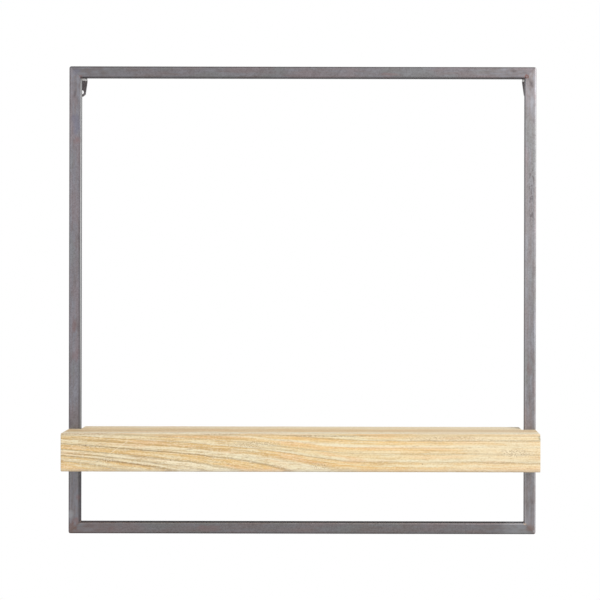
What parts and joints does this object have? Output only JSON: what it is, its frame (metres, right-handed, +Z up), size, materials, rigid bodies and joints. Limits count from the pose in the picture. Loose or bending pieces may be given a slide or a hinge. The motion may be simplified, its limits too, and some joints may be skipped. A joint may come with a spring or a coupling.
{
  "type": "wall shelf",
  "caption": "Wall shelf: a square frame of thin steel tube carries one thick notched pine board near its lower edge and hangs on two bent, drilled tongues.",
  "frame": {"origin": "midway between the centres of the two wall screw holes, on the wall plane", "axes": "+X to the right seen from the front, +Y into the wall, +Z up"},
  "size_m": [0.5, 0.07, 0.5],
  "materials": {
    "raw_steel": "satin, blued and slightly rusty",
    "weld_metal": "heat tinted",
    "brushed_pine": "matt, brushed",
    "zinc_plate": "satin zinc"
  },
  "bodies": {
    "root": {"top_rail": "raw_steel", "bottom_rail": "raw_steel", "left_upright": "raw_steel", "right_upright": "raw_steel", "corner_welds": "weld_metal", "left_hanger": "raw_steel", "right_hanger": "raw_steel", "hanger_welds": "weld_metal", "shelf_board": "brushed_pine", "board_screws": "zinc_plate"}
  },
  "joints": []
}
